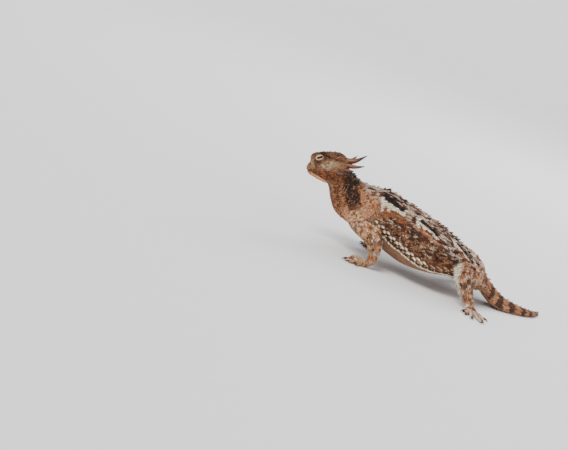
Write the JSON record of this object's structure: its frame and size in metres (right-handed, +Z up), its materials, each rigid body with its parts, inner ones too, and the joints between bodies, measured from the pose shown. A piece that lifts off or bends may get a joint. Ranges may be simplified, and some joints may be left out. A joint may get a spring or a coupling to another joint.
{
  "type": "horned lizard model",
  "caption": "Still, life-size horned lizard standing on four feet with its head raised, for display on a flat surface.",
  "frame": {"origin": "on the floor under the middle of the model's box", "axes": "+X from the snout back to the tail, +Y to the animal's right, +Z up from the floor"},
  "size_m": [0.1152, 0.0784, 0.0405],
  "materials": {
    "skin": "dry granular and spiny scales, rusty brown and beige with dark brown blotches",
    "horn": "satin rusty brown horn with dark tips",
    "eye": "glossy near-black eye"
  },
  "bodies": {
    "root": {"head": "skin", "neck": "skin", "torso": "skin", "tail": "skin", "front_leg_left": "skin", "front_leg_right": "skin", "hind_leg_left": "skin", "hind_leg_right": "skin", "eye_left": "eye", "eye_right": "eye", "occipital_horn_left": "horn", "occipital_horn_right": "horn", "temporal_horn_1_left": "horn", "temporal_horn_1_right": "horn", "temporal_horn_2_left": "horn", "temporal_horn_2_right": "horn", "temporal_horn_3_left": "horn", "temporal_horn_3_right": "horn"}
  },
  "joints": []
}
